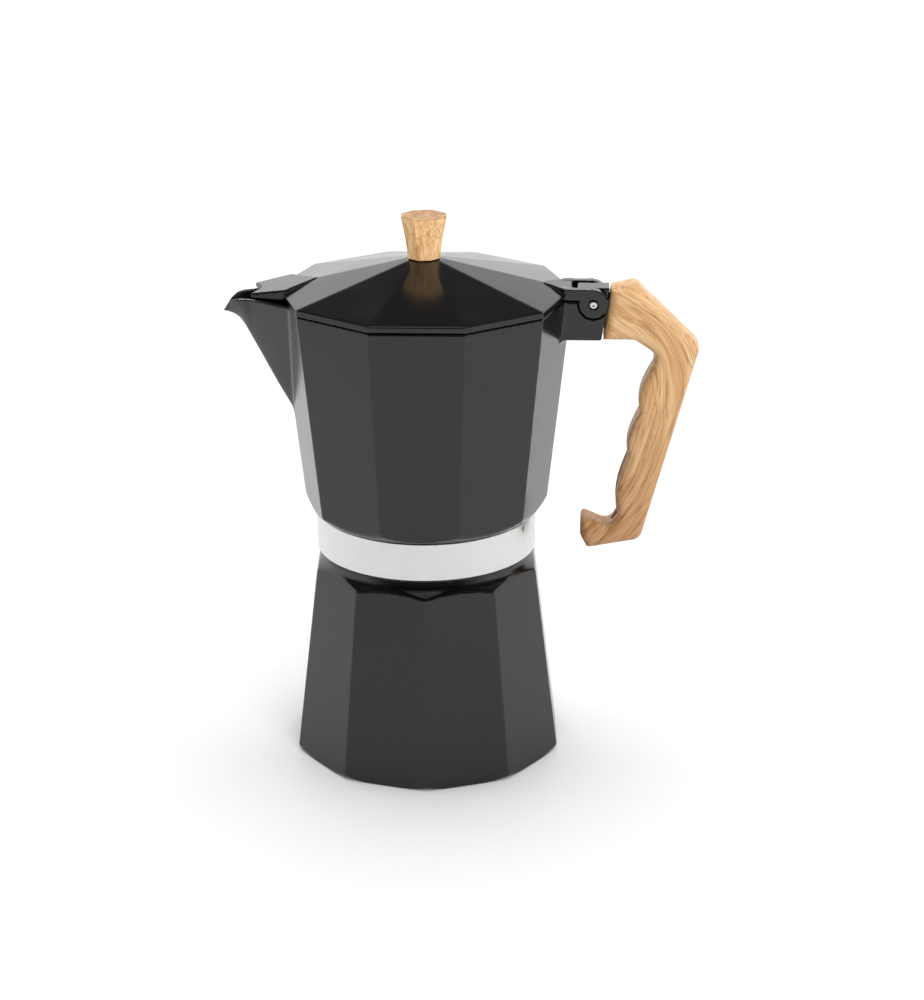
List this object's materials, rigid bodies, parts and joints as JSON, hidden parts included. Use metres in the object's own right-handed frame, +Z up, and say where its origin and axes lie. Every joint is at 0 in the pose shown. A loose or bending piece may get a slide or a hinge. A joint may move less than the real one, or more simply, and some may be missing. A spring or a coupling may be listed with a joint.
{
  "type": "moka pot",
  "caption": "Ten-sided black stove-top moka pot with a bare metal collar, wood-effect handle and knob, spout, hinged lid and safety valve.",
  "frame": {"origin": "centre of the boiler's underside, on the surface that it stands on", "axes": "+Z up along the pot's axis, +X towards the handle, -X towards the spout, the lid's hinge along Y"},
  "size_m": [0.1857, 0.1108, 0.2198],
  "materials": {
    "black_enamel": "semi-gloss",
    "bare_aluminium": "brushed",
    "wood_effect": "satin wood effect",
    "steel": "satin",
    "brass": "turned",
    "silicone": "matte",
    "red_fibre": "matte"
  },
  "bodies": {
    "boiler": {"boiler": "black_enamel", "valve_body": "brass", "valve_washer": "red_fibre", "valve_seat": "brass", "valve_spring": "steel"},
    "valve_stem": {"valve_stem": "steel"},
    "funnel": {"funnel": "bare_aluminium", "funnel_sieve": "bare_aluminium"},
    "gasket": {"gasket": "silicone"},
    "filter_plate": {"filter_plate": "steel"},
    "chamber": {"chamber": "black_enamel", "collar_ring": "bare_aluminium", "riser_column": "bare_aluminium", "riser_cap": "bare_aluminium", "hinge_pin": "steel", "handle": "wood_effect", "handle_screw": "steel"},
    "lid": {"lid": "black_enamel", "knob": "wood_effect", "knob_insert": "brass", "knob_screw": "steel", "knob_washer": "steel"}
  },
  "joints": [
    {"name": "valve_release", "type": "slide", "parent": "boiler", "child": "valve_stem", "axis": [-0.3429, 0.9319, 0.1185], "range_m": [0, 0.002], "stiffness_N_per_m": 2000, "deforming": ["valve_spring"]},
    {"name": "funnel_lift", "type": "slide", "parent": "boiler", "child": "funnel", "axis": [0, 0, 1], "range_m": [0, 0.1]},
    {"name": "chamber_lift", "type": "slide", "parent": "funnel", "child": "gasket", "axis": [0, 0, 1], "range_m": [0, 0.06]},
    {"name": "thread_rise", "type": "slide", "parent": "gasket", "child": "filter_plate", "axis": [0, 0, 1], "range_m": [0, 0.00452]},
    {"name": "chamber_turn", "type": "hinge", "parent": "filter_plate", "child": "chamber", "pos_m": [0, 0, 0.0918], "axis": [0, 0, 1], "range_deg": [0, 540]},
    {"name": "lid_hinge", "type": "hinge", "parent": "chamber", "child": "lid", "pos_m": [0.0657, 0, 0.1869], "axis": [0, 1, 0], "range_deg": [0, 90]}
  ],
  "couplings": [
    {"joint": "thread_rise", "follows": "chamber_turn", "m_per_rad": 0.00047746}
  ]
}
